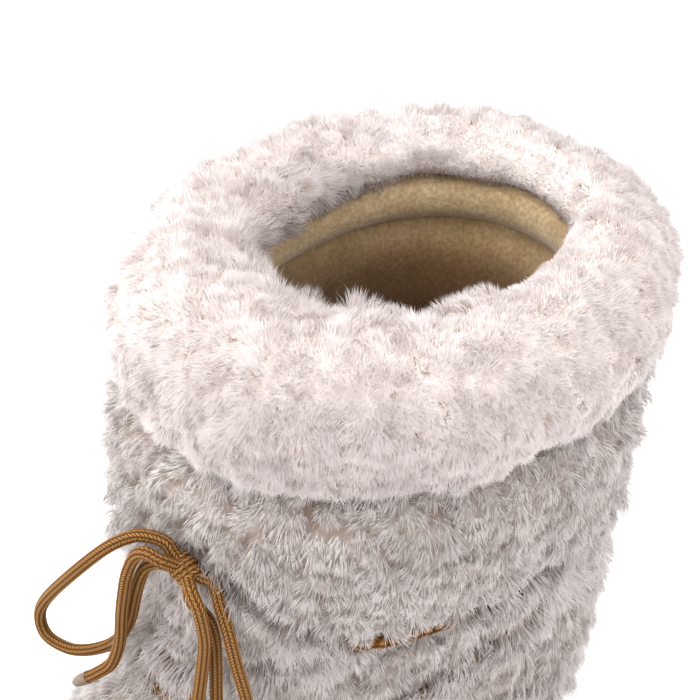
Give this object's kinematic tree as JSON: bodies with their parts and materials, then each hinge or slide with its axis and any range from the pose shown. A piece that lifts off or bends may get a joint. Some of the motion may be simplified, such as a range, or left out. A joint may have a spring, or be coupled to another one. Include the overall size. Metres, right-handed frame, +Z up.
{
  "type": "fur winter boot",
  "caption": "Left winter boot in deep pale fur: thick rolled cuff, padded fleece lining, lugged moulded sole, and a round lace that wraps the ankle and ties in a bow.",
  "frame": {"origin": "on the floor, under the middle of the boot's plan without the bow", "axes": "+X towards the toe, +Y towards the outer side of this left boot, +Z up"},
  "size_m": [0.3048, 0.1758, 0.2709],
  "materials": {
    "fur": "long soft pile, matt",
    "lining": "short fleece, matt",
    "rubber": "moulded, satin",
    "lace": "braided, matt",
    "aglet": "shrunk sleeve, satin"
  },
  "bodies": {
    "root": {"upper": "fur", "fur_cuff": "fur", "lining_band": "lining", "insole": "lining", "outsole": "rubber", "lace_wrap": "lace", "lace_knot": "lace", "lace_loop_left": "lace", "lace_loop_right": "lace", "lace_end_left": "lace", "lace_end_right": "lace", "lace_tip_left": "aglet", "lace_tip_right": "aglet"}
  },
  "joints": []
}
